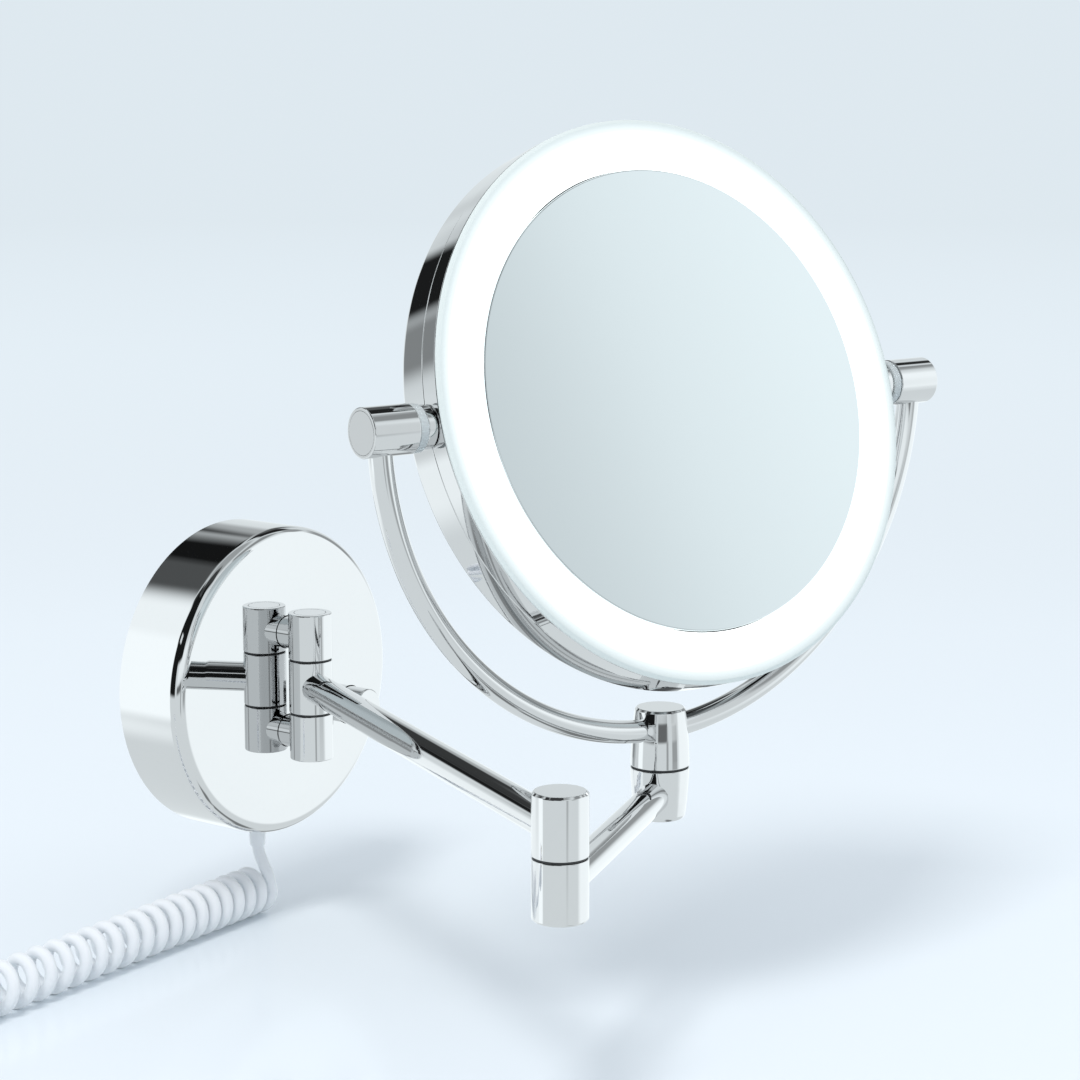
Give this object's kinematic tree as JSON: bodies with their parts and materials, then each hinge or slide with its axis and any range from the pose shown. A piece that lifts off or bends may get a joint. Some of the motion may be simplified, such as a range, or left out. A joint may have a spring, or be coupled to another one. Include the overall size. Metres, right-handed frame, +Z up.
{
  "type": "extendable shaving mirror",
  "caption": "Round lit shaving mirror in a U-shaped yoke on a folding two-piece arm, hinged to a round chrome wall base with a curly mains cord.",
  "frame": {"origin": "centre of the round base's flat back, where it touches the wall", "axes": "+Y points into the wall, -Y out into the room, +Z up, +X to the right when looking at the wall"},
  "size_m": [0.4666, 0.2513, 0.3143],
  "materials": {
    "chrome": "polished chrome plate",
    "plain_steel": "zinc plated, satin",
    "dark_nylon": "satin nylon",
    "white_cord": "satin white flexible plastic",
    "white_plastic": "smooth white moulding",
    "wire_sheath": "white wire sheath",
    "brass_pins": "bright brass, nickel washed",
    "circuit_board": "solder mask over glass fibre",
    "led_board_white": "white solder mask with yellow-white diodes",
    "grey_plastic": "moulded grey plastic",
    "clear_plastic": "pale translucent bearing plastic",
    "lit_diffuser": "frosted acrylic, lit from behind",
    "mirror_glass": "silvered glass"
  },
  "bodies": {
    "wall_base": {"wall_bracket": "plain_steel", "base_cover": "chrome", "cover_grub_screw": "plain_steel", "hinge_post_upper": "chrome", "hinge_post_lower": "chrome", "post_screw_upper": "plain_steel", "post_screw_lower": "plain_steel", "hinge_knuckle_top": "chrome", "hinge_knuckle_bottom": "chrome", "hinge_cap_top": "chrome", "hinge_cap_bottom": "chrome", "hinge_pin": "plain_steel", "hinge_nut": "plain_steel", "hinge_washer_upper": "dark_nylon", "hinge_washer_lower": "dark_nylon", "driver_board": "circuit_board", "driver_transformer": "grey_plastic", "button_switch_body": "grey_plastic", "strain_relief": "white_cord", "cord_lead": "white_cord", "cord_coil": "white_cord", "cord_tail": "white_cord", "plug_boot": "white_cord", "plug_body": "white_plastic", "plug_pin_left": "brass_pins", "plug_pin_right": "brass_pins"},
    "button": {"power_button": "chrome"},
    "inner_arm": {"inner_arm_knuckle": "chrome", "inner_arm_tube": "chrome", "inner_arm_wire": "wire_sheath", "elbow_upper_knuckle": "chrome", "elbow_pin": "plain_steel"},
    "outer_arm": {"elbow_lower_knuckle": "chrome", "elbow_washer": "dark_nylon", "elbow_nut": "plain_steel", "elbow_cap": "chrome", "outer_arm_tube": "chrome", "outer_arm_wire": "wire_sheath", "swivel_lower_half": "chrome", "swivel_washer": "dark_nylon"},
    "yoke": {"swivel_upper_half": "chrome", "swivel_pin": "plain_steel", "yoke_tube": "chrome", "pivot_knob_left": "chrome", "pivot_knob_right": "chrome", "pivot_end_cap_left": "chrome", "pivot_end_cap_right": "chrome"},
    "head": {"pivot_stud_left": "chrome", "pivot_stud_right": "chrome", "pivot_washer_left": "clear_plastic", "pivot_washer_right": "clear_plastic", "head_front_rim": "chrome", "head_rear_shell": "chrome", "head_frame": "grey_plastic", "diffuser_ring": "lit_diffuser", "led_board": "led_board_white", "mirror_carrier": "grey_plastic", "front_mirror": "mirror_glass", "rear_mirror": "mirror_glass"}
  },
  "joints": [
    {"name": "button_press", "type": "slide", "parent": "wall_base", "child": "button", "axis": [0, 1, 0], "range_m": [0, 0.002], "stiffness_N_per_m": 500},
    {"name": "wall_hinge", "type": "hinge", "parent": "wall_base", "child": "inner_arm", "pos_m": [0, -0.0434, 0], "axis": [0, 0, 1], "range_deg": [-62, 118]},
    {"name": "elbow", "type": "hinge", "parent": "inner_arm", "child": "outer_arm", "pos_m": [-0.10563, -0.24206, -0.009], "axis": [0, 0, 1], "range_deg": [-297.7, 22.3]},
    {"name": "yoke_swivel", "type": "hinge", "parent": "outer_arm", "child": "yoke", "pos_m": [0.00791, -0.20141, -0.009], "axis": [0, 0, 1], "range_deg": [-49, 301]},
    {"name": "head_tilt", "type": "hinge", "parent": "yoke", "child": "head", "pos_m": [0.00791, -0.20141, 0.12], "axis": [0.9603, -0.279, 0], "range_deg": [-157, 193]}
  ]
}
